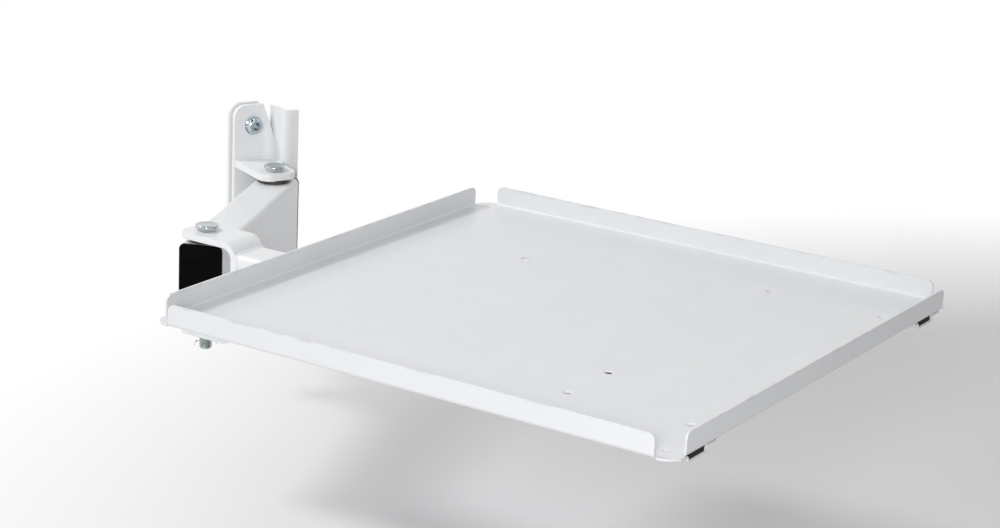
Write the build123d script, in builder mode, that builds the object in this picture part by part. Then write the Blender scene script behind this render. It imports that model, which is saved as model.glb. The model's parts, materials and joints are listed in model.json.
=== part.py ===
"""Swing-arm tray for a slotted workbench post, in millimetres.

The origin is the post's front left corner at the arms' mid-height. +Z is up, and the tray's
sides run along X and Y in the rest pose. The post stands turned against the tray by post_angle,
so its bracket is drawn in the post's own plane: x across the post's front, y into its depth.
"""
import os
from math import cos, radians, sin

from build123d import *

# ---- the slotted post that the bracket clamps: its sizes, as it isn't part of the object ----
post_angle = 65.0
post_depth = 80.0
post_wall = 2.0
slot_pitch = 32.0
slot_height = 18.0
slot_from_edge = 7.7
top_slot_height = 78.1

# ---- tray pan ----
tray_width = 400.0
tray_depth = 400.0
tray_height = 16.0
tray_sheet = 1.5
tray_bend_inside = 1.5
tray_shift = -22.5
corner_notch = 14.0
corner_round = 13.0
bend_relief = 1.2
flange_corner_round = 5.0
accessory_hole = 7.0
accessory_spacing_x = 88.0
accessory_spacing_y = 276.0
accessory_offset = 132.0
diagonal_offset = 88.0
corner_hole = 4.5
corner_hole_inset = 14.0

# ---- stiffening rails under the tray ----
rail_sheet = 1.5
rail_bend_inside = 1.5
rail_depth = 5.0
rail_hat = 25.0
rail_slope = 2.0
rail_rear_lip = 11.0
rail_end_gap = 1.0
front_rail_inset = 18.0
front_rail_lip = 8.0
rear_rail_inset = 28.0
rear_rail_lip = 5.0

# ---- arms ----
arm_width = 34.0
arm_height = 65.0
arm_wall = 2.5
arm_round = 4.0
arm_overhang = 13.7
arm_1_length = 184.3
arm_1_angle = -68.1
arm_2_length = 336.2
arm_2_overhang = 24.0
cap_thickness = 3.0
cap_edge_round = 1.0
cap_plug = 4.0
cap_wall = 2.0
cap_gap = 0.15

# ---- pivots: plastic bushes in the arms turn on steel sleeves ----
sleeve_diameter = 14.0
running_fit = 0.05
axial_play = 0.1
bush_wall = 2.0
bush_flange = 3.0
bush_flange_diameter = 27.0
bush_length = 12.0
bolt_diameter = 10.0
sleeve_bore_play = 0.2
bolt_hole_play = 0.4
bolt_head_flats = 17.0
bolt_head_height = 4.5
nut_height = 9.0
washer_diameter = 20.0
washer_thickness = 2.0
thread_end = 3.0

# ---- elbow: a C-shaped strap welded to arm 2 ----
elbow_plate = 5.0
elbow_bend_inside = 8.0
elbow_reach = 37.0
elbow_overhang = 15.0
elbow_corner_round = 9.0

# ---- post bracket: two bent halves and a clevis ----
bracket_plate = 4.0
bracket_height = 177.0
bracket_corner_inside = 3.0
ear_bend_inside = 8.0
ear_setback = 21.0
ear_reach = 37.5
ear_corner_round = 10.0
ear_gap = 6.0
lip_drop = 1.5
rear_lip_width = 10.0
relief_width = 7.0
relief_drop = 29.0
relief_radius = 95.0
hook_count = 3
hook_slot_step = 2
hook_height = 14.0
hook_nib_drop = 4.0
hook_nib_width = 5.0
hook_wall_gap = 0.6
clevis_plate = 6.0
clevis_nose = 13.0
clevis_corner_round = 10.0
clevis_outer_edge = 37.0
pivot_across = 20.5
pivot_out = 20.0
clamp_bolt_across = 20.5
clamp_bolt_height = 70.9
clamp_bolt_diameter = 8.0
clamp_hole_play = 0.5
clamp_head_diameter = 14.0
clamp_head_height = 4.4
clamp_head_round = 2.5
clamp_socket_flats = 6.0
clamp_socket_depth = 3.0
clamp_nut_flats = 13.0
clamp_nut_height = 6.5
clamp_washer_diameter = 16.0
clamp_washer_thickness = 1.6

# ---- tray swivel ----
swivel_plate_side = 150.0
swivel_plate_thickness = 4.0
swivel_plate_round = 12.0
swivel_collar_diameter = 44.0
swivel_collar_height = 12.0
swivel_housing_diameter = 28.0
swivel_recess_diameter = 24.0
swivel_recess_depth = 15.0
swivel_washer_diameter = 23.0

# ---- planes, points and radii worked out from the sizes ----
post_x = Vector(cos(radians(post_angle)), sin(radians(post_angle)), 0)
post = Plane(origin=(0, 0, 0), x_dir=post_x, z_dir=(0, 0, 1))
post_front = Plane(origin=(0, 0, 0), x_dir=post.x_dir, z_dir=-post.y_dir)
post_side = Plane(origin=(0, 0, 0), x_dir=post.y_dir, z_dir=post.x_dir)
across_post = Axis(origin=(0, 0, 0), direction=post.x_dir)
into_post = Axis(origin=(0, 0, 0), direction=post.y_dir)

arm_1_direction = Vector(cos(radians(arm_1_angle)), sin(radians(arm_1_angle)), 0)
arm_2_direction = Vector(1, 0, 0)
bracket_pivot = post.from_local_coords(Vector(-pivot_across, -pivot_out, 0))
elbow_pivot = bracket_pivot + arm_1_direction * arm_1_length
swivel_pivot = elbow_pivot + arm_2_direction * arm_2_length
weld_face = elbow_pivot + arm_2_direction * (elbow_reach + elbow_plate)

arm_top = arm_height / 2
joint_top = arm_top + bush_flange + axial_play
clevis_top = joint_top + clevis_plate
elbow_top = joint_top + elbow_plate
swivel_plate_bottom = joint_top + swivel_collar_height
tray_bottom = swivel_plate_bottom + swivel_plate_thickness
tray = Plane(origin=(swivel_pivot.X, swivel_pivot.Y + tray_shift, tray_bottom))

bush_bore_radius = sleeve_diameter / 2 + running_fit
bush_radius = bush_bore_radius + bush_wall
sleeve_bore_radius = (bolt_diameter + sleeve_bore_play) / 2
bolt_hole_radius = (bolt_diameter + bolt_hole_play) / 2
clamp_hole_radius = (clamp_bolt_diameter + clamp_hole_play) / 2
tray_bend_outside = tray_bend_inside + tray_sheet
plate_middle = bracket_plate / 2
lip_edge = slot_from_edge + plate_middle
bracket_top = bracket_height / 2
front_ear_back = ear_setback + bracket_plate
rear_ear_front = front_ear_back + ear_gap
rear_ear_back = rear_ear_front + bracket_plate
ear_bend_outside = ear_bend_inside + bracket_plate
housing_radius = swivel_housing_diameter / 2
swivel_shoulder = swivel_recess_depth - arm_top
swivel_journal_end = swivel_shoulder - axial_play

os.makedirs("parts", exist_ok=True)


def save(part, name):
    """Label one finished piece and write it to its own file."""
    part.label = name
    export_step(part, f"parts/{name}.step")


def looking_up(point, height):
    """Level plane on the upright axis through a point, looking up."""
    return Plane(origin=(point.X, point.Y, height), x_dir=(1, 0, 0), z_dir=(0, 0, 1))


def looking_down(point, height):
    """Level plane on the upright axis through a point, looking down."""
    return Plane(origin=(point.X, point.Y, height), x_dir=(1, 0, 0), z_dir=(0, 0, -1))


def clamp_planes(depth, outward):
    """Planes square to both clamp bolts at a depth in the post's frame, looking along outward."""
    planes = []
    for height in (-clamp_bolt_height, clamp_bolt_height):
        centre = post.from_local_coords(Vector(-clamp_bolt_across, depth, height))
        planes.append(Plane(origin=centre, x_dir=post.x_dir, z_dir=outward))
    return planes


# ---- hardware shared by the joints ----
def hex_bolt(seat, diameter, flats, head_height, length):
    """Bolt whose head stands on the seat and whose shank goes down behind it."""
    with BuildPart() as bolt:
        with BuildSketch(seat):
            RegularPolygon(flats / 2, 6, major_radius=False)
        extrude(amount=head_height)
        with BuildSketch(seat):
            Circle(diameter / 2)
        extrude(amount=-length)
    return bolt.part


def hex_nuts(seats, diameter, flats, height):
    """Nuts standing on the seats, bored to the thread's outer diameter."""
    with BuildPart() as nuts:
        for seat in seats:
            with BuildSketch(seat):
                RegularPolygon(flats / 2, 6, major_radius=False)
                Circle(diameter / 2, mode=Mode.SUBTRACT)
            extrude(amount=height)
    return nuts.part


def rings(seats, outer_radius, inner_radius, height):
    """Washers, sleeves or collars standing on the seats."""
    with BuildPart() as ring_set:
        for seat in seats:
            with BuildSketch(seat):
                Circle(outer_radius)
                Circle(inner_radius, mode=Mode.SUBTRACT)
            extrude(amount=height)
    return ring_set.part


def flanged_bush(seat):
    """Plastic bush with its flange on the tube's wall and its barrel inside the tube."""
    with BuildPart() as bush:
        with BuildSketch(seat):
            Circle(bush_flange_diameter / 2)
        extrude(amount=bush_flange)
        with BuildSketch(seat):
            Circle(bush_radius)
        extrude(amount=-bush_length)
        with BuildSketch(seat.offset(-bush_length)):
            Circle(bush_bore_radius)
        extrude(amount=bush_length + bush_flange, mode=Mode.SUBTRACT)
    return bush.part


def save_bushes(point, name):
    """Both bushes of one pivot, in the tube's upper and lower wall."""
    save(flanged_bush(looking_up(point, arm_top)), f"{name}_upper_bush")
    save(flanged_bush(looking_down(point, -arm_top)), f"{name}_lower_bush")


def save_pivot(point, plate_top, name):
    """Bolt, sleeve, washer and nut that clamp two plates round one pivot."""
    nut_top = plate_top + washer_thickness
    shank = plate_top + nut_top + nut_height + thread_end
    seat = looking_up(point, plate_top)
    save(hex_bolt(seat, bolt_diameter, bolt_head_flats, bolt_head_height, shank), f"{name}_bolt")
    seat = [looking_up(point, -joint_top)]
    save(rings(seat, sleeve_diameter / 2, sleeve_bore_radius, 2 * joint_top), f"{name}_sleeve")
    seat = [looking_down(point, -plate_top)]
    save(rings(seat, washer_diameter / 2, bolt_hole_radius, washer_thickness), f"{name}_washer")
    seat = [looking_down(point, -nut_top)]
    save(hex_nuts(seat, bolt_diameter, bolt_head_flats, nut_height), f"{name}_nut")


# ---- post bracket, front half: lip, side and ear bent from one plate, hooked into the slots ----
def relief():
    """Area above the large arc in which an ear's top runs down to the side."""
    ear_edge = -bracket_plate - relief_width
    with BuildSketch() as area:
        with BuildLine():
            RadiusArc(
                (-bracket_plate, bracket_top - relief_drop),
                (ear_edge, bracket_top),
                -relief_radius,
            )
            Polyline(
                (ear_edge, bracket_top),
                (-bracket_plate, bracket_top),
                (-bracket_plate, bracket_top - relief_drop),
            )
        make_face()
    return area.sketch


with BuildPart() as front_half:
    with BuildSketch(post):
        with BuildLine():
            FilletPolyline(
                (lip_edge, -plate_middle),
                (-plate_middle, -plate_middle),
                (-plate_middle, ear_setback + plate_middle),
                (-ear_reach, ear_setback + plate_middle),
                radius=[bracket_corner_inside + plate_middle, ear_bend_inside + plate_middle],
            )
        trace(line_width=bracket_plate)
    extrude(amount=bracket_top)
    ear_corner = front_half.edges().filter_by(into_post).group_by(Axis.Z)[-1].sort_by(across_post)[0]
    fillet(ear_corner, ear_corner_round)
    with BuildSketch(post_front.offset(-front_ear_back)):
        add(relief())
    extrude(amount=ear_bend_outside, mode=Mode.SUBTRACT)
    # the lip and the side stop a little lower than the ear
    with BuildSketch(post.offset(bracket_top - lip_drop)):
        with Locations((-bracket_plate, -bracket_plate)):
            Rectangle(lip_edge + bracket_plate, front_ear_back + bracket_plate, align=Align.MIN)
    extrude(amount=lip_drop, mode=Mode.SUBTRACT)
    with BuildSketch(clamp_planes(ear_setback, post.y_dir)[1]):
        Circle(clamp_hole_radius)
    extrude(amount=bracket_plate, mode=Mode.SUBTRACT)
    mirror(about=Plane.XY)
    # hooks reach through every second slot, with a nib down behind the post's wall
    for hook in range(hook_count):
        seat = top_slot_height - slot_height / 2 - hook * hook_slot_step * slot_pitch
        nib_front = post_wall + hook_wall_gap
        with BuildSketch(post_side.offset(slot_from_edge - plate_middle)):
            with BuildLine():
                Polyline(
                    (-plate_middle, seat),
                    (-plate_middle, seat + hook_height),
                    (nib_front + hook_nib_width, seat + hook_height),
                    (nib_front + hook_nib_width, seat - hook_nib_drop),
                    (nib_front, seat - hook_nib_drop),
                    (nib_front, seat),
                    close=True,
                )
            make_face()
        extrude(amount=bracket_plate)
save(front_half.part, "post_bracket_front")

# ---- post bracket, rear half: ear, side and a lip round the post's back corner ----
with BuildPart() as rear_half:
    with BuildSketch(post):
        with BuildLine():
            FilletPolyline(
                (-ear_reach, rear_ear_front + plate_middle),
                (-plate_middle, rear_ear_front + plate_middle),
                (-plate_middle, post_depth + plate_middle),
                (rear_lip_width, post_depth + plate_middle),
                radius=[ear_bend_inside + plate_middle, bracket_corner_inside + plate_middle],
            )
        trace(line_width=bracket_plate)
    extrude(amount=bracket_top)
    ear_corner = rear_half.edges().filter_by(into_post).group_by(Axis.Z)[-1].sort_by(across_post)[0]
    fillet(ear_corner, ear_corner_round)
    with BuildSketch(post_front.offset(-rear_ear_front)):
        add(relief())
    extrude(amount=-ear_bend_outside - bracket_plate, mode=Mode.SUBTRACT)
    # the side and the lip stop at the foot of that arc
    with BuildSketch(post.offset(bracket_top - relief_drop)):
        with Locations((-bracket_plate, rear_ear_front)):
            Rectangle(
                rear_lip_width + bracket_plate,
                post_depth + bracket_plate - rear_ear_front,
                align=Align.MIN,
            )
    extrude(amount=relief_drop, mode=Mode.SUBTRACT)
    with BuildSketch(clamp_planes(rear_ear_front, post.y_dir)[1]):
        Circle(clamp_hole_radius)
    extrude(amount=bracket_plate, mode=Mode.SUBTRACT)
    mirror(about=Plane.XY)
save(rear_half.part, "post_bracket_rear")

# ---- screws that pull the two halves together round the post ----
head_seats = clamp_planes(ear_setback - clamp_washer_thickness, -post.y_dir)
grip = clamp_washer_thickness + rear_ear_back - ear_setback
clamp_length = grip + clamp_nut_height + thread_end
with BuildPart() as clamp_bolts:
    for seat in head_seats:
        with BuildSketch(seat):
            Circle(clamp_head_diameter / 2)
        extrude(amount=clamp_head_height)
    outward = Axis(origin=(0, 0, 0), direction=-post.y_dir)
    head_edges = clamp_bolts.edges().filter_by(GeomType.CIRCLE).group_by(outward)[-1]
    fillet(head_edges, clamp_head_round)
    for seat in head_seats:
        with BuildSketch(seat.offset(clamp_head_height)):
            RegularPolygon(clamp_socket_flats / 2, 6, major_radius=False)
        extrude(amount=-clamp_socket_depth, mode=Mode.SUBTRACT)
        with BuildSketch(seat):
            Circle(clamp_bolt_diameter / 2)
        extrude(amount=-clamp_length)
save(clamp_bolts.part, "clamp_bolts")
save(
    rings(
        clamp_planes(ear_setback, -post.y_dir),
        clamp_washer_diameter / 2,
        clamp_hole_radius,
        clamp_washer_thickness,
    ),
    "clamp_washers",
)
save(
    hex_nuts(
        clamp_planes(rear_ear_back, post.y_dir),
        clamp_bolt_diameter,
        clamp_nut_flats,
        clamp_nut_height,
    ),
    "clamp_nuts",
)


# ---- clevis: two plates welded to the front ear, above and below arm 1 ----
def clevis_half(bottom):
    """Level plate from the ear to a rounded nose, its back corner filling the ear's bend."""
    width = clevis_outer_edge - bracket_plate
    depth = ear_setback + pivot_out + clevis_nose
    with BuildPart() as plate:
        with BuildSketch(post.offset(bottom)) as outline:
            with Locations((-clevis_outer_edge, ear_setback)):
                Rectangle(width, depth, align=(Align.MIN, Align.MAX))
            fillet(outline.vertices().group_by(Axis.Y)[0], clevis_corner_round)
            back_corner = outline.vertices().group_by(Axis.Y)[-1].sort_by(Axis.X)[-1]
            fillet(back_corner, ear_bend_inside)
            with Locations((-pivot_across, -pivot_out)):
                Circle(bolt_hole_radius, mode=Mode.SUBTRACT)
        extrude(amount=clevis_plate)
    return plate.part


save(clevis_half(joint_top), "upper_clevis_plate")
save(clevis_half(-clevis_top), "lower_clevis_plate")
save_pivot(bracket_pivot, clevis_top, "bracket_pivot")


# ---- arms: rounded box tubes closed by plastic caps ----
def end_plane(point, outward):
    """Plane square to a tube's axis, with its y axis up."""
    return Plane(origin=(point.X, point.Y, 0), x_dir=Vector(0, 0, 1).cross(outward), z_dir=outward)


def arm_tube(start, end, pivots, bore_radius):
    """Box tube from start to end, bored through both walls at its pivots."""
    with BuildPart() as tube:
        with BuildSketch(end_plane(start, (end - start).normalized())):
            RectangleRounded(arm_width, arm_height, arm_round)
            RectangleRounded(
                arm_width - 2 * arm_wall,
                arm_height - 2 * arm_wall,
                arm_round - arm_wall,
                mode=Mode.SUBTRACT,
            )
        extrude(amount=(end - start).length)
        for pivot in pivots:
            with BuildSketch(looking_up(pivot, -arm_top)):
                Circle(bore_radius)
            extrude(amount=arm_height, mode=Mode.SUBTRACT)
    return tube.part


def end_cap(seat):
    """Cap on the tube's end with a hollow plug inside the tube."""
    plug_width = arm_width - 2 * (arm_wall + cap_gap)
    plug_height = arm_height - 2 * (arm_wall + cap_gap)
    plug_round = arm_round - arm_wall
    with BuildPart() as cap:
        with BuildSketch(seat):
            RectangleRounded(arm_width, arm_height, arm_round)
        extrude(amount=cap_thickness)
        outer_face = cap.faces().sort_by(Axis(origin=(0, 0, 0), direction=seat.z_dir))[-1]
        fillet(outer_face.edges(), cap_edge_round)
        with BuildSketch(seat):
            RectangleRounded(plug_width, plug_height, plug_round)
            Rectangle(plug_width - 2 * cap_wall, plug_height - 2 * cap_wall, mode=Mode.SUBTRACT)
        extrude(amount=-cap_plug)
    return cap.part


arm_1_rear = bracket_pivot - arm_1_direction * arm_overhang
arm_1_front = elbow_pivot + arm_1_direction * arm_overhang
arm_2_end = swivel_pivot + arm_2_direction * arm_2_overhang
arm_1_pivots = [bracket_pivot, elbow_pivot]
save(arm_tube(arm_1_rear, arm_1_front, arm_1_pivots, bush_radius), "arm_1_tube")
save(arm_tube(weld_face, arm_2_end, [swivel_pivot], housing_radius), "arm_2_tube")
save(end_cap(end_plane(arm_1_rear, -arm_1_direction)), "arm_1_rear_cap")
save(end_cap(end_plane(arm_1_front, arm_1_direction)), "arm_1_front_cap")
save(end_cap(end_plane(arm_2_end, arm_2_direction)), "arm_2_end_cap")
save_bushes(bracket_pivot, "arm_1_rear")
save_bushes(elbow_pivot, "arm_1_front")

# ---- elbow bracket: one strap bent into a C, its open side round the end of arm 1 ----
elbow_side = Plane(origin=(elbow_pivot.X, elbow_pivot.Y, 0), x_dir=(1, 0, 0), z_dir=(0, -1, 0))
with BuildPart() as elbow_bracket:
    strap_middle = joint_top + elbow_plate / 2
    web_middle = elbow_reach + elbow_plate / 2
    with BuildSketch(elbow_side):
        with BuildLine():
            FilletPolyline(
                (-elbow_overhang, strap_middle),
                (web_middle, strap_middle),
                (web_middle, -strap_middle),
                (-elbow_overhang, -strap_middle),
                radius=elbow_bend_inside + elbow_plate / 2,
            )
        trace(line_width=elbow_plate)
    extrude(amount=arm_width / 2, both=True)
    fillet(elbow_bracket.edges().filter_by(Axis.Z).group_by(Axis.X)[0], elbow_corner_round)
    with BuildSketch(looking_up(elbow_pivot, -elbow_top)):
        Circle(bolt_hole_radius)
    extrude(amount=2 * elbow_top, mode=Mode.SUBTRACT)
save(elbow_bracket.part, "elbow_bracket")
save_pivot(elbow_pivot, elbow_top, "elbow")


# ---- tray pan: floor with corner tabs and four flanges bent up between them ----
def edge_plane(angle, reach):
    """Plane on one edge of the tray's underside: x along the edge, y inward."""
    turned = tray.location * Location((0, 0, 0), (0, 0, angle)) * Location((0, -reach, 0))
    return Plane(turned)


def bent_flange(edge, length):
    """Flange with its bend, centred on the edge, with rounded upper corners."""
    section = Plane(origin=edge.origin, x_dir=edge.y_dir, z_dir=edge.x_dir)
    with BuildPart() as flange:
        with BuildSketch(section):
            with BuildLine():
                FilletPolyline(
                    (tray_bend_outside, tray_sheet / 2),
                    (tray_sheet / 2, tray_sheet / 2),
                    (tray_sheet / 2, tray_height),
                    radius=tray_bend_inside + tray_sheet / 2,
                )
            trace(line_width=tray_sheet)
        extrude(amount=length / 2, both=True)
        inward = Axis(origin=(0, 0, 0), direction=edge.y_dir)
        fillet(flange.edges().filter_by(inward).group_by(Axis.Z)[-1], flange_corner_round)
    return flange.part


front_length = tray_width - 2 * corner_notch
side_length = tray_depth - 2 * corner_notch
tray_edges = (
    (edge_plane(0, tray_depth / 2), front_length),
    (edge_plane(90, tray_width / 2), side_length),
    (edge_plane(180, tray_depth / 2), front_length),
    (edge_plane(270, tray_width / 2), side_length),
)
flanges = [bent_flange(edge, length) for edge, length in tray_edges]

with BuildPart() as tray_pan:
    with BuildSketch(tray):
        RectangleRounded(tray_width, tray_depth, corner_round)
        with GridLocations(
            tray_width - 2 * corner_hole_inset, tray_depth - 2 * corner_hole_inset, 2, 2
        ):
            Circle(corner_hole / 2, mode=Mode.SUBTRACT)
        with Locations((accessory_offset, 0)):
            with GridLocations(accessory_spacing_x, accessory_spacing_y, 2, 2):
                Circle(accessory_hole / 2, mode=Mode.SUBTRACT)
        with Locations((-diagonal_offset, diagonal_offset), (diagonal_offset, -diagonal_offset)):
            Circle(accessory_hole / 2, mode=Mode.SUBTRACT)
    extrude(amount=tray_sheet)
    for edge, length in tray_edges:
        with BuildSketch(edge):
            Rectangle(length + 2 * bend_relief, 2 * tray_bend_outside)
        extrude(amount=tray_sheet, mode=Mode.SUBTRACT)
    for flange in flanges:
        add(flange)
save(tray_pan.part, "tray_pan")


# ---- hat rails spot-welded across the underside ----
def hat_rail(hat_front, front_lip):
    """Rail along X with its hat hanging down; hat_front is the hat's place from the tray's centre."""
    lip_middle = -rail_sheet / 2
    hat_middle = rail_sheet / 2 - rail_depth
    length = tray_width - 2 * rail_end_gap
    section = Plane(origin=tray.origin, x_dir=(0, 1, 0), z_dir=(1, 0, 0))
    with BuildPart() as rail:
        with BuildSketch(section):
            with BuildLine():
                FilletPolyline(
                    (hat_front - front_lip, lip_middle),
                    (hat_front, lip_middle),
                    (hat_front + rail_slope, hat_middle),
                    (hat_front + rail_hat - rail_slope, hat_middle),
                    (hat_front + rail_hat, lip_middle),
                    (hat_front + rail_hat + rail_rear_lip, lip_middle),
                    radius=rail_bend_inside + rail_sheet / 2,
                )
            trace(line_width=rail_sheet)
        extrude(amount=length / 2, both=True)
        # the tray's corner holes go on through the lips
        with BuildSketch(tray):
            with GridLocations(
                tray_width - 2 * corner_hole_inset, tray_depth - 2 * corner_hole_inset, 2, 2
            ):
                Circle(corner_hole / 2)
        extrude(amount=-rail_depth, mode=Mode.SUBTRACT)
    return rail.part


front_hat = front_rail_inset - tray_depth / 2
rear_hat = tray_depth / 2 - rear_rail_inset - rail_hat
save(hat_rail(front_hat, front_rail_lip), "front_rail")
save(hat_rail(rear_hat, rear_rail_lip), "rear_rail")

# ---- swivel housing: a tube welded through arm 2, recessed from below for the washer and nut ----
with BuildPart() as swivel_housing:
    with BuildSketch(looking_up(swivel_pivot, -arm_top)):
        Circle(housing_radius)
        Circle(bush_radius, mode=Mode.SUBTRACT)
    extrude(amount=arm_height)
    with BuildSketch(looking_up(swivel_pivot, -arm_top)):
        Circle(swivel_recess_diameter / 2)
    extrude(amount=swivel_recess_depth, mode=Mode.SUBTRACT)
save(swivel_housing.part, "swivel_housing")

# the lower bush is a plain barrel, flush with the recess
save(flanged_bush(looking_up(swivel_pivot, arm_top)), "arm_2_upper_bush")
barrel_seat = [looking_up(swivel_pivot, swivel_shoulder)]
save(rings(barrel_seat, bush_radius, bush_bore_radius, bush_length), "arm_2_lower_bush")

# ---- tray swivel: welded plate, collar and stud that turn in the housing's bushes ----
with BuildPart() as swivel_plate:
    with BuildSketch(looking_up(swivel_pivot, swivel_plate_bottom)):
        RectangleRounded(swivel_plate_side, swivel_plate_side, swivel_plate_round)
    extrude(amount=swivel_plate_thickness)
save(swivel_plate.part, "swivel_plate")

collar_seat = [looking_down(swivel_pivot, swivel_plate_bottom)]
collar_radius = swivel_collar_diameter / 2
save(rings(collar_seat, collar_radius, sleeve_diameter / 2, swivel_collar_height), "swivel_collar")

with BuildPart() as swivel_stud:
    with BuildSketch(looking_down(swivel_pivot, swivel_plate_bottom)):
        Circle(sleeve_diameter / 2)
    extrude(amount=swivel_plate_bottom - swivel_journal_end)
    with BuildSketch(looking_down(swivel_pivot, swivel_journal_end)):
        Circle(bolt_diameter / 2)
    extrude(amount=washer_thickness + nut_height + thread_end)
save(swivel_stud.part, "swivel_stud")

washer_seat = [looking_down(swivel_pivot, swivel_journal_end)]
swivel_washer_radius = swivel_washer_diameter / 2
save(rings(washer_seat, swivel_washer_radius, bolt_hole_radius, washer_thickness), "swivel_washer")
nut_seat = [looking_down(swivel_pivot, swivel_journal_end - washer_thickness)]
save(hex_nuts(nut_seat, bolt_diameter, bolt_head_flats, nut_height), "swivel_nut")
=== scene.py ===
import json
from math import cos, pi, radians, sin

import bmesh
import bpy
from mathutils import Matrix, Vector


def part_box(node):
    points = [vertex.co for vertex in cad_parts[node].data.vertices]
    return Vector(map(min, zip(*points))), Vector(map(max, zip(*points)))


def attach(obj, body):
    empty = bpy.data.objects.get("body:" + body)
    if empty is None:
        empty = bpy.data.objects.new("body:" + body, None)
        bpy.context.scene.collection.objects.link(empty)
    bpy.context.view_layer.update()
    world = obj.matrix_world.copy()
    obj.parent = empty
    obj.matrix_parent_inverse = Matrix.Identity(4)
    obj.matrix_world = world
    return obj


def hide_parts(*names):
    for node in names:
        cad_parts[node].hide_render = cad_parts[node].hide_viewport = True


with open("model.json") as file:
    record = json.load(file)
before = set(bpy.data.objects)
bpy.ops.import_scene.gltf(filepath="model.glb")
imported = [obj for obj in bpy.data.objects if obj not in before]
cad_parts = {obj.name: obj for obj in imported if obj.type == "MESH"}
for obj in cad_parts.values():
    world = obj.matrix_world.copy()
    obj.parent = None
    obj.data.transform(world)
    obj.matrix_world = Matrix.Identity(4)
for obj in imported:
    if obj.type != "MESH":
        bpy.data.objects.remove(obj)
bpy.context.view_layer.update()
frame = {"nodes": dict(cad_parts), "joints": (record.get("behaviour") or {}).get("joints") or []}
bpy.ops.object.select_all(action="DESELECT")

# ---- Camera ----
# It looks down over the tray's front right corner towards the upright, from the height of a
# seated person's eyes and through a long lens.
camera_data = bpy.data.cameras.new("camera")
camera_data.lens = 90.8
camera_data.sensor_width = 36
camera_data.clip_end = 30
camera = bpy.data.objects.new("camera", camera_data)
camera.location = (1.2632, -1.6417, 0.5891)
camera.rotation_euler = (radians(73.045), radians(-2.620), radians(33.239))
bpy.context.collection.objects.link(camera)
bpy.context.scene.camera = camera
bpy.context.scene.view_settings.view_transform = "Standard"

# ---- Post bracket ----
# Two halves are bent from 4 mm steel plate, one of them with hooks for the upright's slots.
# Both are powder coated near-white, and the coat is rubbed grey round the pivot's washer.
nodes = frame["nodes"]
pivots = {joint["name"]: Vector(joint["pos_m"]) for joint in frame["joints"]}


class Wire:
    """One value in a node tree; sums and products of wires add the maths nodes."""

    def __init__(self, wiring, socket):
        self.wiring = wiring
        self.socket = socket

    def maths(self, operation, first, second):
        return self.wiring.add("ShaderNodeMath", {"operation": operation}, {0: first, 1: second})

    def __add__(self, other):
        return self.maths("ADD", self, other)

    def __radd__(self, other):
        return self.maths("ADD", other, self)

    def __sub__(self, other):
        return self.maths("SUBTRACT", self, other)

    def __mul__(self, other):
        return self.maths("MULTIPLY", self, other)

    def __rmul__(self, other):
        return self.maths("MULTIPLY", other, self)


class Wiring:
    """A node tree whose nodes are all added and linked in one way."""

    def __init__(self, tree):
        self.tree = tree

    def add(self, kind, settings, sockets, output=0):
        """A node, with its settings made before its sockets; gives one of its outputs."""
        node = self.tree.nodes.new(kind)
        for name, value in settings.items():
            setattr(node, name, value)
        for socket, value in sockets.items():
            self.join(value, node.inputs[socket])
        return Wire(self, node.outputs[output])

    def join(self, value, socket):
        """Links a wire to a socket, or sets the socket to a plain value."""
        if isinstance(value, Wire):
            self.tree.links.new(value.socket, socket)
        else:
            socket.default_value = value


class Finish(Wiring):
    """A material on the object's own coordinates, in metres."""

    def __init__(self, name, **constants):
        self.material = bpy.data.materials.new(name)
        self.material.use_nodes = True
        super().__init__(self.material.node_tree)
        self.shader = self.tree.nodes["Principled BSDF"]
        for socket, value in constants.items():
            self.feed(socket.replace("_", " "), value)
        self.place = self.add("ShaderNodeTexCoord", {}, {}, "Object")

    def feed(self, socket, value):
        """Gives one of the shader's own sockets its wire or its constant."""
        self.join(value, self.shader.inputs[socket])

    def cloud(self, scale, detail=2.0, stretch=(1, 1, 1)):
        """Noise round 0.5, with scale in lumps per metre."""
        place = self.add("ShaderNodeMapping", {}, {"Vector": self.place, "Scale": stretch})
        return self.add("ShaderNodeTexNoise", {}, {"Vector": place, "Scale": scale, "Detail": detail})

    def between(self, low, high, wire, low_at=0.3, high_at=0.7):
        """A value that runs from low to high while the wire runs from low_at to high_at."""
        sockets = {0: wire, 1: low_at, 2: high_at, 3: low, 4: high}
        return self.add("ShaderNodeMapRange", {}, sockets)

    def mix(self, factor, first, second):
        """One colour that turns into another."""
        return self.add("ShaderNodeMix", {"data_type": "RGBA"}, {0: factor, 6: first, 7: second}, 2)

    def raise_by(self, height, strength, distance):
        """Relief from a height wire, whose value of 1 is that many metres high."""
        sockets = {"Height": height, "Strength": strength, "Distance": distance}
        self.feed("Normal", self.add("ShaderNodeBump", {}, sockets, "Normal"))


def powder_coat(name, colour, shaded, rubbed):
    """White baked powder: orange peel, a few specks of dust and greyer where it is rubbed."""
    coat = Finish(name, Coat_Weight=0.45, Coat_Roughness=0.16, Specular_IOR_Level=0.5)
    worn = rubbed(coat) * coat.between(0, 1, coat.cloud(75, 4), 0.48, 0.66)
    clean = coat.mix(coat.between(0, 1, coat.cloud(14, 3)), colour, shaded)
    dust = coat.between(0, 0.5, coat.cloud(620, 0), 0.80, 0.84)
    dusty_places = coat.between(0, 1, coat.cloud(23, 3), 0.55, 0.6)
    dusty = coat.mix(dust * dusty_places, clean, (0.42, 0.41, 0.39, 1))
    coat.feed("Base Color", coat.mix(0.4 * worn, dusty, (0.42, 0.43, 0.44, 1)))
    smear = coat.between(0.35, 0.47, coat.cloud(38, 4, (1, 1, 2)))
    coat.feed("Roughness", smear - 0.10 * worn)
    peel = coat.cloud(650, 1) + 0.35 * coat.cloud(2200, 0)
    coat.raise_by(peel - 0.5 * worn, 0.5, 0.00003)
    return coat


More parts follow.
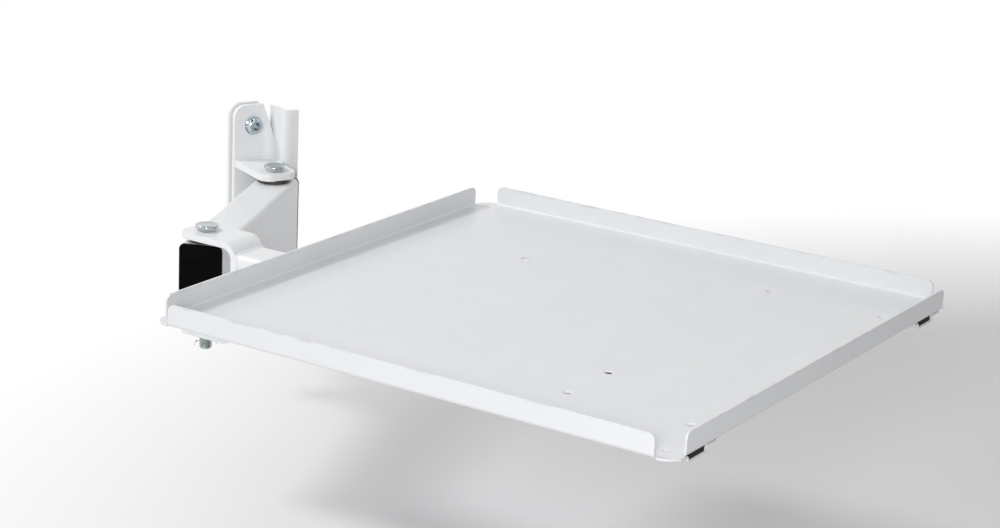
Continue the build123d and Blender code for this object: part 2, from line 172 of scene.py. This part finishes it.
def round_pivot(coat, centre, reach, softness=0.0015):
    """How near a point is to an upright pivot: 1 within reach of its axis, fading to 0."""
    level = coat.add("ShaderNodeMapping", {}, {"Vector": coat.place, "Scale": (1, 1, 0)})
    spot = (centre.x, centre.y, 0)
    away = coat.add("ShaderNodeVectorMath", {"operation": "DISTANCE"}, {0: level, 1: spot}, 1)
    return coat.between(1, 0, away, reach, reach + softness)


def merged_copy(node, name):
    """A copy of a solid with its triangles merged back into whole faces."""
    piece = bpy.data.objects.new(name, nodes[node].data.copy())
    bpy.context.collection.objects.link(piece)
    piece.data.materials.clear()
    bpy.context.view_layer.objects.active = piece
    piece.select_set(True)
    bpy.ops.mesh.customdata_custom_splitnormals_clear()
    bpy.ops.object.mode_set(mode="EDIT")
    bpy.ops.mesh.select_all(action="SELECT")
    bpy.ops.mesh.remove_doubles(threshold=0.000002)
    bpy.ops.mesh.dissolve_limited(angle_limit=radians(0.5))
    bpy.ops.object.mode_set(mode="OBJECT")
    return piece


def round_edges(piece, width, steps=2, sharper_than=35):
    """Rounds a piece's sharp edges over and smooths its shading."""
    bpy.context.view_layer.objects.active = piece
    piece.select_set(True)
    rounding = piece.modifiers.new("rounding", "BEVEL")
    rounding.limit_method = "ANGLE"
    rounding.angle_limit = radians(sharper_than)
    rounding.width = width
    rounding.segments = steps
    rounding.miter_outer = "MITER_ARC"
    bpy.ops.object.modifier_apply(modifier="rounding")
    bpy.ops.object.shade_smooth_by_angle(angle=radians(28))
    flats = piece.modifiers.new("flats", "WEIGHTED_NORMAL")
    flats.keep_sharp = True
    bpy.ops.object.modifier_apply(modifier="flats")
    piece.select_set(False)
    return piece


def fit(piece, body, slot, finish, *stands_for):
    """Gives a finished piece its coat and body, and hides the solids it stands for."""
    piece.data.materials.clear()
    piece.data.materials.append(finish.material)
    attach(piece, body)
    if stands_for:
        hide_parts(*stands_for)


def dress(node, name, rounding, body, slot, finish):
    """A coated copy of a solid with rounded edges, which stands for that solid."""
    fit(round_edges(merged_copy(node, name), rounding), body, slot, finish, node)


bracket_coat = powder_coat(
    "bracket_coat",
    (0.80, 0.81, 0.82, 1),
    (0.775, 0.79, 0.80, 1),
    lambda coat: round_pivot(coat, pivots["bracket_swing"], 0.0094),
)
for half in ("front", "rear"):
    name = f"bracket_{half}_plate"
    dress(f"post_bracket_{half}", name, 0.0007, "bracket", "bracket_coat", bracket_coat)

# ---- Clevis ----
# Two 6 mm plates are welded to the front half, above and below the first arm. The weld is a
# fillet along the ear and round its bend, coated over with the rest.
for side in ("upper", "lower"):
    dress(f"{side}_clevis_plate", f"{side}_clevis", 0.0008, "bracket", "bracket_coat", bracket_coat)


def weld_bead(name, path, radius, step=0.0015):
    """A fillet weld: overlapping drops of metal along a path, melted into one skin."""
    drops = [path[-1]]
    for start, end in zip(path, path[1:]):
        count = max(1, round((end - start).length / step))
        drops += [start.lerp(end, drop / count) for drop in range(count)]
    bead = None
    for drop in drops:
        # a welder's hand isn't even: the drops swell and shrink a little along the path
        swell = radius * (1 + 0.08 * sin(drop.x * 2900 + drop.y * 2300 + drop.z * 1700))
        bpy.ops.mesh.primitive_uv_sphere_add(
            segments=12, ring_count=8, radius=swell, location=drop
        )
        if bead is None:
            bead = bpy.context.object
            bpy.ops.object.transform_apply(location=True, rotation=False, scale=False)
            bpy.ops.object.mode_set(mode="EDIT")
    bpy.ops.object.mode_set(mode="OBJECT")
    bead.name = name
    skin = bead.modifiers.new("skin", "REMESH")
    skin.mode = "VOXEL"
    skin.voxel_size = radius / 5
    skin.use_smooth_shade = True
    bpy.ops.object.modifier_apply(modifier="skin")
    bead.select_set(False)
    return bead


def post_point(across, depth, height):
    """A point in the upright's own frame: across its front face, into its depth, and up."""
    turned = Matrix.Rotation(radians(65), 3, "Z")
    return turned @ Vector((across, depth, height))


ear_edge, ear_face = -0.0355, 0.021
bend_across, bend_radius = -0.012, 0.008
side_end = (-0.004, -0.001)
clevis_seams = {
    "upper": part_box("upper_clevis_plate")[1].z,
    "lower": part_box("lower_clevis_plate")[0].z,
}
for side, height in clevis_seams.items():
    seam = [post_point(ear_edge, ear_face, height), post_point(bend_across, ear_face, height)]
    for turn in (radians(30), radians(60), radians(90)):
        across = bend_across + bend_radius * sin(turn)
        depth = ear_face - bend_radius + bend_radius * cos(turn)
        seam.append(post_point(across, depth, height))
    seam.append(post_point(*side_end, height))
    bead = weld_bead(f"{side}_clevis_weld", seam, 0.0013)
    fit(bead, "bracket", "bracket_coat", bracket_coat)


# ---- Clamp screws ----
# Two M8 socket screws with low domed heads pull the halves together round the upright, with
# a washer under each head and a hex nut behind. All are zinc plated with a blue passivation.
def zinc_plate(name, blue, grey):
    """Bright zinc, blue passivated in some places more than in others."""
    plate = Finish(name, Metallic=1.0, Specular_Tint=(0.92, 0.97, 1, 1))
    tint = plate.between(0, 1, plate.cloud(420, 2), 0.40, 0.60)
    plate.feed("Base Color", plate.mix(tint, blue, grey))
    plate.feed("Roughness", plate.between(0.10, 0.26, plate.cloud(480, 3)))
    plate.raise_by(plate.cloud(1900, 2), 0.35, 0.00002)
    return plate


zinc = zinc_plate("zinc", (0.50, 0.60, 0.68, 1), (0.64, 0.67, 0.67, 1))


def pick_faces(choose):
    """Selects, in edit mode, just those faces of the active mesh that choose accepts."""
    bpy.ops.mesh.select_all(action="DESELECT")
    mesh = bmesh.from_edit_mesh(bpy.context.object.data)
    for face in mesh.faces:
        face.select_set(bool(choose(face)))
    mesh.select_flush_mode()
    bmesh.update_edit_mesh(bpy.context.object.data)


def pick_top():
    """Selects the faces that look up at the active mesh's highest point."""
    mesh = bmesh.from_edit_mesh(bpy.context.object.data)
    almost_top = max(vertex.co.z for vertex in mesh.verts) - 0.00001
    pick_faces(lambda face: face.normal.z > 0.9 and face.calc_center_median().z > almost_top)


def round_blank(name, radius, low, high, sides=64):
    """A round bar on the Z axis, ready to be shaped."""
    bpy.ops.mesh.primitive_cylinder_add(
        vertices=sides, radius=radius, depth=high - low, location=(0, 0, (low + high) / 2)
    )
    bar = bpy.context.object
    bar.name = name
    bpy.ops.object.transform_apply(location=True, rotation=False, scale=False)
    return bar


def hex_bar(name, flats, low, high):
    """A hexagonal bar on the Z axis, with its corners along X."""
    bpy.ops.mesh.primitive_cylinder_add(
        vertices=6,
        radius=flats / 2 / cos(pi / 6),
        depth=high - low,
        location=(0, 0, (low + high) / 2),
        rotation=(0, 0, radians(30)),
    )
    bar = bpy.context.object
    bar.name = name
    bpy.ops.object.transform_apply(location=True, rotation=True, scale=False)
    return bar


def cut_with(piece, tool, operation):
    """Applies a boolean with a tool, which is then thrown away."""
    bpy.ops.object.select_all(action="DESELECT")
    bpy.context.view_layer.objects.active = piece
    cut = piece.modifiers.new("cut", "BOOLEAN")
    cut.operation = operation
    cut.object = tool
    cut.solver = "EXACT"
    bpy.ops.object.modifier_apply(modifier="cut")
    bpy.data.objects.remove(tool)
    return piece


def turned_bar(radius, length, chamfer):
    """The turned shape that a nut is cut to: both of its ends slope in at 30 degrees."""
    slope = chamfer / 1.73
    shrink = 1 - chamfer / radius
    bar = round_blank("turned_bar", radius, slope, length - slope, 96)
    bpy.ops.object.mode_set(mode="EDIT")
    for end in (1, -1):
        pick_faces(lambda face: face.normal.z * end > 0.9)
        bpy.ops.mesh.extrude_region_move(TRANSFORM_OT_translate={"value": (0, 0, slope * end)})
        bpy.ops.transform.resize(value=(shrink, shrink, 1), center_override=(0, 0, 0))
    bpy.ops.object.mode_set(mode="OBJECT")
    return bar


def hex_nut(name, flats, thick, turned_radius, chamfer, bore_radius):
    """A nut with its underside at zero: hex bar, turned at both ends and bored through."""
    nut = hex_bar(name, flats, 0, thick)
    cut_with(nut, turned_bar(turned_radius, thick, chamfer), "INTERSECT")
    cut_with(nut, round_blank("bore_tool", bore_radius, -0.001, thick + 0.001), "DIFFERENCE")
    return round_edges(nut, 0.0002, 1)


def threaded_end(name, radius, low, high, pitch):
    """The turned end of a screw: thread rings up to high and a bevelled tip at low."""
    depth = 0.61 * pitch
    bpy.ops.mesh.primitive_cylinder_add(
        vertices=40, radius=radius - depth, depth=pitch / 2, location=(0, 0, low + pitch / 4)
    )
    end = bpy.context.object
    end.name = name
    bpy.ops.object.transform_apply(location=True, rotation=False, scale=False)
    bpy.ops.object.mode_set(mode="EDIT")
    pick_top()
    widen = radius / (radius - depth)
    height = low + pitch / 2
    while height < high - pitch:
        for scale in (widen, 1, 1 / widen, 1):
            rise = pitch * (0.40 if scale != 1 else 0.10)
            height += rise
            bpy.ops.mesh.extrude_region_move(TRANSFORM_OT_translate={"value": (0, 0, rise)})
            bpy.ops.transform.resize(value=(scale, scale, 1), center_override=(0, 0, height))
    bpy.ops.mesh.extrude_region_move(TRANSFORM_OT_translate={"value": (0, 0, pitch / 3)})
    bpy.ops.transform.resize(value=(widen, widen, 1), center_override=(0, 0, height))
    bpy.ops.mesh.extrude_region_move(
        TRANSFORM_OT_translate={"value": (0, 0, high - height - pitch / 3)}
    )
    bpy.ops.object.mode_set(mode="OBJECT")
    bpy.ops.object.shade_smooth_by_angle(angle=radians(25))
    return end


def joined(name, *shapes):
    """Several closed shapes as one piece."""
    bpy.ops.object.select_all(action="DESELECT")
    for shape in shapes:
        shape.select_set(True)
    bpy.context.view_layer.objects.active = shapes[0]
    bpy.ops.object.join()
    shapes[0].name = name
    shapes[0].select_set(False)
    return shapes[0]


def placed(piece, name, matrix):
    """A copy of a piece with its own mesh, moved to its place."""
    copy = bpy.data.objects.new(name, piece.data.copy())
    copy.data.transform(matrix)
    bpy.context.collection.objects.link(copy)
    return copy


# a near-black shell in each hex socket is painted shade, darkening the deep recess
painted_socket_shade = Finish("painted_socket_shade", Metallic=1.0, Base_Color=(0.05, 0.055, 0.065, 1), Roughness=0.35)

# the head is a round blank whose top rim is rolled over, with a hex socket sunk into it
head_height = 0.0044
socket_flats, socket_floor = 0.006, 0.0014
above_head = 0.006
head = round_blank("screw_head", 0.007, 0, head_height)
bpy.ops.object.mode_set(mode="EDIT")
pick_top()
bpy.ops.mesh.bevel(offset=0.0026, segments=7, affect="EDGES", profile=0.5)
bpy.ops.object.mode_set(mode="OBJECT")
cut_with(head, hex_bar("socket_tool", socket_flats, socket_floor, above_head), "DIFFERENCE")
round_edges(head, 0.0002, 2, 40)
# the thin near-black shell for the socket, which paints the shade in its recess
shade_lining = hex_bar("socket_lining", socket_flats - 0.0001, socket_floor + 0.0001, head_height - 0.0003)
cut_with(shade_lining, hex_bar("lining_tool", socket_flats - 0.0006, 0, above_head), "DIFFERENCE")
shank = threaded_end("screw_thread", 0.004, -0.0281, 0, 0.00125)
clamp_screw = joined("clamp_screw", head, shank)
clamp_nut = hex_nut("clamp_nut", 0.013, 0.0065, 0.0075, 0.0012, 0.0041)

clamp_across, clamp_height = -0.0205, 0.0709
head_seat, nut_seat = 0.0194, 0.035
into_post = post_point(0, 1, 0)
across_post = post_point(1, 0, 0)
for side, height in (("upper", clamp_height), ("lower", -clamp_height)):
    seats = []
    for depth, outward in ((head_seat, -into_post), (nut_seat, into_post)):
        turn = Matrix((across_post, outward.cross(across_post), outward)).transposed().to_4x4()
        seats.append(Matrix.Translation(post_point(clamp_across, depth, height)) @ turn)
    screw = placed(clamp_screw, f"{side}_clamp_screw", seats[0])
    nut = placed(clamp_nut, f"{side}_clamp_nut", seats[1])
    # painted shade: the near-black shell sits inside the screw's socket
    socket = placed(shade_lining, f"{side}_clamp_socket", seats[0])
    fit(socket, "bracket", "zinc", painted_socket_shade)
    fit(screw, "bracket", "zinc", zinc, "clamp_bolts")
    fit(nut, "bracket", "zinc", zinc, "clamp_nuts")
for pattern in (clamp_screw, shade_lining, clamp_nut):
    bpy.data.objects.remove(pattern)
dress("clamp_washers", "clamp_screw_washers", 0.0003, "bracket", "zinc", zinc)

# ---- Pivot pins ----
# At the clevis and at the elbow, an M10 hex bolt clamps two plates onto a turned steel
# sleeve, with a washer and a nut below. The sleeve is what the arm's bushes turn on.
turned_steel = Finish("turned_steel", Metallic=1.0)
rings = turned_steel.add(
    "ShaderNodeTexWave",
    {"bands_direction": "Z"},
    {"Vector": turned_steel.place, "Scale": 900.0, "Distortion": 0.4, "Detail": 1.0},
    1,
)
turned_steel.feed("Base Color", turned_steel.mix(rings, (0.50, 0.50, 0.51, 1), (0.60, 0.61, 0.62, 1)))
turned_steel.feed("Roughness", turned_steel.between(0.25, 0.38, rings, 0, 1))
turned_steel.raise_by(rings, 0.3, 0.00001)

# older, warmer plating than on the clamp screws
pivot_zinc = zinc_plate("pivot_zinc", (0.44, 0.50, 0.53, 1), (0.60, 0.61, 0.57, 1))

# the head is a hexagon with a wider round rim left on top, which is dished a little
bolt_head_height = 0.0045
bolt_radius, bolt_pitch, thread_length = 0.005, 0.0015, 0.020
collar = round_edges(hex_bar("head_collar", 0.0135, 0, 0.0030), 0.00025)
rim = round_blank("head_rim", 0.00885, 0.0026, bolt_head_height)
bpy.ops.object.mode_set(mode="EDIT")
bpy.ops.mesh.select_all(action="SELECT")
bpy.ops.mesh.bevel(offset=0.0005, segments=3, affect="EDGES", profile=0.5)
pick_top()
bpy.ops.mesh.inset(thickness=0.0011)
bpy.ops.mesh.inset(thickness=0.0007, depth=-0.00025)
bpy.ops.object.mode_set(mode="OBJECT")
bpy.ops.object.shade_smooth_by_angle(angle=radians(30))
bolt_head = joined("bolt_head", collar, rim)
pivot_nut = hex_nut("pivot_nut", 0.017, 0.009, 0.0099, 0.0015, 0.0051)

for pivot, joint, body in (
    ("bracket_pivot", "bracket_swing", "bracket"),
    ("elbow", "elbow_swing", "arm_two"),
):
    axis = Matrix.Translation(pivots[joint])
    bolt_low, bolt_high = (corner.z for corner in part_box(f"{pivot}_bolt"))
    under_head = bolt_high - bolt_head_height
    thread_end = bolt_low + thread_length
    thread = threaded_end(f"{pivot}_thread", bolt_radius, bolt_low, thread_end, bolt_pitch)
    plain = round_blank(f"{pivot}_shank", 0.00495, thread_end - 0.0005, under_head + 0.001, 40)
    bpy.ops.object.shade_smooth_by_angle(angle=radians(28))
    shank = joined(f"{pivot}_shank", thread, plain)
    shank.data.transform(axis)
    head = placed(bolt_head, f"{pivot}_head", axis @ Matrix.Translation((0, 0, under_head)))
    fit(joined(f"{pivot}_hex_bolt", head, shank), body, "zinc", pivot_zinc, f"{pivot}_bolt")
    nut_seat = Matrix.Translation((0, 0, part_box(f"{pivot}_nut")[0].z))
    nut = placed(pivot_nut, f"{pivot}_hex_nut", axis @ nut_seat)
    fit(nut, body, "zinc", pivot_zinc, f"{pivot}_nut")
    dress(f"{pivot}_washer", f"{pivot}_plain_washer", 0.0003, body, "zinc", pivot_zinc)
    dress(f"{pivot}_sleeve", f"{pivot}_turned_sleeve", 0.0003, body, "sleeve_steel", turned_steel)
bpy.data.objects.remove(bolt_head)

# ---- First arm ----
# A 65 x 34 mm rolled steel tube, powder coated like the bracket. Its open ends are closed by
# black moulded caps, and black flanged bushes are pressed into its walls at both pivots.
arm_coat = powder_coat(
    "arm_coat",
    (0.79, 0.80, 0.815, 1),
    (0.765, 0.78, 0.795, 1),
    lambda coat: round_pivot(coat, pivots["elbow_swing"], 0.0094)
    + round_pivot(coat, pivots["bracket_swing"], 0.0145, 0.003),
)
cap_plastic = Finish("cap_plastic", Specular_IOR_Level=0.02)
bloom = cap_plastic.between(0, 1, cap_plastic.cloud(90))
cap_black = cap_plastic.mix(bloom, (0.0020, 0.0020, 0.0022, 1), (0.0035, 0.0035, 0.0040, 1))
cap_plastic.feed("Base Color", cap_black)
cap_plastic.feed("Roughness", cap_plastic.between(0.30, 0.42, cap_plastic.cloud(300)))
cap_plastic.raise_by(cap_plastic.cloud(2600, 1), 0.3, 0.00003)
bush_plastic = Finish("bush_plastic", Specular_IOR_Level=0.5)
bloom = bush_plastic.between(0, 1, bush_plastic.cloud(120))
bush_black = bush_plastic.mix(bloom, (0.030, 0.026, 0.024, 1), (0.045, 0.038, 0.034, 1))
bush_plastic.feed("Base Color", bush_black)
bush_plastic.feed("Roughness", bush_plastic.between(0.28, 0.40, bush_plastic.cloud(400)))
bush_plastic.raise_by(bush_plastic.cloud(2600, 1), 0.2, 0.00003)

dress("arm_1_tube", "first_arm_tube", 0.0003, "arm_one", "arm_coat", arm_coat)
for end in ("rear", "front"):
    name = f"first_arm_{end}_cap"
    dress(f"arm_1_{end}_cap", name, 0.00015, "arm_one", "cap_plastic", cap_plastic)
    for side in ("upper", "lower"):
        name = f"first_arm_{end}_{side}_bush"
        dress(f"arm_1_{end}_{side}_bush", name, 0.0004, "arm_one", "bush_plastic", bush_plastic)

# ---- Elbow and second arm ----
# A 5 mm strap is bent into a C round the end of the first arm, and its web is welded all
# round to the second arm's tube. The tube carries the tray's swivel in a welded housing.
dress("elbow_bracket", "elbow_strap", 0.0009, "arm_two", "arm_coat", arm_coat)
dress("arm_2_tube", "second_arm_tube", 0.0003, "arm_two", "arm_coat", arm_coat)
dress("arm_2_end_cap", "second_arm_cap", 0.00015, "arm_two", "cap_plastic", cap_plastic)
dress("swivel_housing", "swivel_housing_tube", 0.0003, "arm_two", "arm_coat", arm_coat)
for side in ("upper", "lower"):
    name = f"swivel_{side}_bush"
    dress(f"arm_2_{side}_bush", name, 0.0003, "arm_two", "bush_plastic", bush_plastic)

tube_low, tube_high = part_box("arm_2_tube")
tube_corner = 0.004
tube_middle = pivots["elbow_swing"].y
half_width = (tube_high.y - tube_low.y) / 2
half_height = (tube_high.z - tube_low.z) / 2
seam = []
for quarter, (sideways, upward) in enumerate(((1, 1), (-1, 1), (-1, -1), (1, -1))):
    corner_y = tube_middle + sideways * (half_width - tube_corner)
    corner_z = upward * (half_height - tube_corner)
    for part in range(4):
        turn = radians(quarter * 90 + part * 30)
        y = corner_y + tube_corner * cos(turn)
        z = corner_z + tube_corner * sin(turn)
        seam.append(Vector((tube_low.x, y, z)))
fit(weld_bead("elbow_weld", seam + seam[:1], 0.0011), "arm_two", "arm_coat", arm_coat)

# the housing's weld runs once round its foot, under the tube
housing_radius = 0.0143
seam = []
for part in range(31):
    turn = radians(12 * part)
    spoke = Vector((housing_radius * cos(turn), housing_radius * sin(turn), -half_height))
    seam.append(pivots["tray_swivel"] + spoke)
fit(weld_bead("housing_weld", seam, 0.0009), "arm_two", "arm_coat", arm_coat)


# ---- Tray ----
# A 1.5 mm steel sheet, laser cut, with four sides folded up between rounded corner tabs and
# plain screw holes in its floor. Two folded hat rails are spot-welded across its underside.
def along_rim(coat):
    """1 on the top edges of the tray's sides, where things slide over them, fading to 0."""
    height = coat.add("ShaderNodeSeparateXYZ", {}, {0: coat.place}, 2)
    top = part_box("tray_pan")[1].z
    return coat.between(0, 1, height, top - 0.0018, top - 0.0004)


tray_coat = powder_coat("tray_coat", (0.725, 0.735, 0.75, 1), (0.705, 0.72, 0.735, 1), along_rim)
dress("tray_pan", "tray_sheet", 0.00035, "tray", "tray_coat", tray_coat)
for place in ("front", "rear"):
    dress(f"{place}_rail", f"{place}_hat_rail", 0.0003, "tray", "tray_coat", tray_coat)

# the powder does not reach into the hats of the rails, whose bare steel is darker; the near-black block
# that fills each hollow is painted shade
painted_rail_shade = Finish("painted_rail_shade", Specular_IOR_Level=0.2)
# mottled near-black: the painted shade of the rail's hollow
shade_mottle = painted_rail_shade.between(0, 1, painted_rail_shade.cloud(140, 3))
painted_rail_shade.feed("Base Color", painted_rail_shade.mix(shade_mottle, (0.012, 0.012, 0.012, 1), (0.030, 0.028, 0.026, 1)))
painted_rail_shade.feed("Roughness", painted_rail_shade.between(0.6, 0.85, shade_mottle, 0, 1))
sheet, hat_width, side_gap = 0.0015, 0.025, 0.0036
end_gap, skin_gap = 0.0008, 0.0003
for place, lip in (("front", 0.008), ("rear", 0.005)):
    low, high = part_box(f"{place}_rail")
    hat_low = low.y + lip + side_gap
    hat_high = low.y + lip + hat_width - side_gap
    bpy.ops.mesh.primitive_cube_add(size=1)
    inside = bpy.context.object
    inside.name = f"{place}_rail_shade_fill"
    inside.scale = (
        high.x - low.x - 2 * end_gap,
        hat_high - hat_low,
        high.z - low.z - sheet - skin_gap,
    )
    inside.location = (
        (low.x + high.x) / 2,
        (hat_low + hat_high) / 2,
        (low.z + high.z + sheet) / 2,
    )
    bpy.ops.object.transform_apply(location=True, rotation=False, scale=True)
    bpy.ops.object.mode_set(mode="EDIT")
    pick_faces(lambda face: abs(face.normal.x) > 0.9)
    bpy.ops.mesh.inset(thickness=0.0002)
    bpy.ops.mesh.inset(thickness=0.00001, depth=-0.06)
    bpy.ops.object.mode_set(mode="OBJECT")
    inside.select_set(False)
    # the block is painted shade inside the rail, pocketed deep at its ends
    fit(inside, "tray", "tray_coat", painted_rail_shade)

# a spot weld leaves a shallow round dent with a raised rim
bpy.ops.mesh.primitive_cylinder_add(vertices=24, radius=0.0028, depth=0.0003)
spot = bpy.context.object
bpy.ops.object.mode_set(mode="EDIT")
pick_faces(lambda face: face.normal.z < -0.9)
bpy.ops.mesh.inset(thickness=0.0006)
bpy.ops.mesh.inset(thickness=0.0007, depth=-0.00022)
bpy.ops.object.mode_set(mode="OBJECT")
bpy.ops.object.shade_smooth_by_angle(angle=radians(60))
spot.select_set(False)
first_spot, spots_in_row = 0.028, 9
for place, front_inset in (("front", 0.0035), ("rear", 0.0023)):
    low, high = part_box(f"{place}_rail")
    spacing = (high.x - low.x - 2 * first_spot) / (spots_in_row - 1)
    spots = []
    for row_y in (low.y + front_inset, high.y - 0.0055):
        for part in range(spots_in_row):
            spot_at = (low.x + first_spot + part * spacing, row_y, high.z - sheet - 0.00005)
            spots.append(placed(spot, "spot", Matrix.Translation(spot_at)))
    fit(joined(f"{place}_rail_spot_welds", *spots), "tray", "tray_coat", tray_coat)
bpy.data.objects.remove(spot)

# ---- Swivel ----
# A square plate welded under the tray carries a collar and a turned stud, which runs in the
# second arm's housing. A large washer and a nut hold it from below, inside a recess.
for part, name in (("swivel_plate", "swivel_base"), ("swivel_collar", "swivel_ring")):
    dress(part, name, 0.0005, "tray", "tray_coat", tray_coat)
axis = Matrix.Translation(pivots["tray_swivel"])
stud_low, stud_high = (corner.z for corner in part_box("swivel_stud"))
thread_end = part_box("swivel_washer")[1].z
journal = round_blank("swivel_journal", 0.007, thread_end, stud_high)
bpy.ops.object.mode_set(mode="EDIT")
pick_faces(lambda face: abs(face.normal.z) > 0.9)
bpy.ops.mesh.bevel(offset=0.0005, segments=2, affect="EDGES")
bpy.ops.object.mode_set(mode="OBJECT")
bpy.ops.object.shade_smooth_by_angle(angle=radians(28))
thread = threaded_end("swivel_thread", bolt_radius, stud_low, thread_end + 0.001, bolt_pitch)
stud = joined("swivel_pin", journal, thread)
stud.data.transform(axis)
fit(stud, "tray", "sleeve_steel", turned_steel, "swivel_stud")
dress("swivel_washer", "swivel_plain_washer", 0.0003, "tray", "zinc", zinc)
nut_seat = Matrix.Translation((0, 0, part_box("swivel_nut")[0].z))
nut = placed(pivot_nut, "swivel_hex_nut", axis @ nut_seat)
fit(nut, "tray", "zinc", zinc, "swivel_nut")
bpy.data.objects.remove(pivot_nut)

# two short beads along each side of the plate
plate_low, plate_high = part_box("swivel_plate")
reach = (plate_high.x - plate_low.x) / 2
centre = Vector((pivots["tray_swivel"].x, pivots["tray_swivel"].y, plate_high.z))
for side in range(4):
    turn = Matrix.Rotation(radians(90 * side), 4, "Z")
    for mark, offset in (("a", -0.042), ("b", 0.042)):
        seam = [centre + turn @ Vector((offset + half, -reach, 0)) for half in (-0.014, 0.014)]
        bead = weld_bead(f"swivel_plate_weld_{side}_{mark}", seam, 0.0016)
        fit(bead, "tray", "tray_coat", tray_coat)


# ---- Bench top, backdrop and light ----
# A pale bench top lies under the tray and fades into a white backdrop. Soft lamps hang at the
# front and at the left, and the white room round them fills the shadows.
def seen_or_mirrored(wiring):
    """1 for what the camera sees straight or in a reflection, and 0 for light that scatters."""
    seen = wiring.add("ShaderNodeLightPath", {}, {}, "Is Camera Ray")
    return seen + wiring.add("ShaderNodeLightPath", {}, {}, "Is Glossy Ray")


bpy.ops.mesh.primitive_plane_add(size=24, location=(0.90, 0.10, -0.170))
bench = bpy.context.object
bench.name = "bench_top"
bench.select_set(False)
bench_top = Finish("bench_top", Roughness=0.55)
grain = bench_top.between(0, 1, bench_top.cloud(3))
bench_top.feed("Base Color", bench_top.mix(grain, (0.76, 0.76, 0.77, 1), (0.74, 0.74, 0.75, 1)))
spread = bench_top.add("ShaderNodeVectorMath", {"operation": "LENGTH"}, {0: bench_top.place}, 1)
fade = bench_top.between(0, 1, spread, 0.70, 1.12) * seen_or_mirrored(bench_top)
laminate = Wire(bench_top, bench_top.shader.outputs[0])
white = bench_top.add("ShaderNodeEmission", {}, {"Color": (1, 1, 1, 1), "Strength": 1.0})
surface = bench_top.add("ShaderNodeMixShader", {}, {0: fade, 1: laminate, 2: white})
bench_top.join(surface, bench_top.tree.nodes["Material Output"].inputs[0])
bench.data.materials.append(bench_top.material)

lit_place = Vector((0.35, -0.2, 0))
for name, place, power in (
    ("front_lamp", (1.24, -2.05, 0.78), 23),
    ("left_lamp", (-0.93, -0.60, 1.41), 15),
):
    lamp_data = bpy.data.lights.new(name, "AREA")
    lamp_data.shape = "DISK"
    lamp_data.size = 0.5
    lamp_data.energy = power
    lamp = bpy.data.objects.new(name, lamp_data)
    lamp.location = place
    lamp.rotation_euler = (lit_place - lamp.location).to_track_quat("-Z", "Y").to_euler()
    bpy.context.collection.objects.link(lamp)

# a dark card shades the right-hand side, and a dark ceiling darkens only the reflections, so
# that the bright metal has something black to mirror
card_black = Finish("card_black", Roughness=1.0, Base_Color=(0.02, 0.02, 0.02, 1))
for name, size, place, turn, only_mirrored in (
    ("dark_card", 0.95, (1.35, 0.62, 0.36), (radians(90), 0, radians(-55)), False),
    ("dark_ceiling", 3.4, (0.3, -0.3, 2.1), (0, 0, 0), True),
):
    bpy.ops.mesh.primitive_plane_add(size=size, location=place, rotation=turn)
    card = bpy.context.object
    card.name = name
    card.select_set(False)
    card.visible_camera = False
    card.visible_diffuse = not only_mirrored
    card.visible_shadow = not only_mirrored
    card.data.materials.append(card_black.material)

# the room is half as bright to the object as it looks behind it
world = bpy.data.worlds.new("white_room")
bpy.context.scene.world = world
world.use_nodes = True
room = Wiring(world.node_tree)
backdrop = room.tree.nodes["Background"]
backdrop.inputs["Color"].default_value = (1, 1, 1, 1)
room.join(0.50 + 0.50 * seen_or_mirrored(room), backdrop.inputs["Strength"])
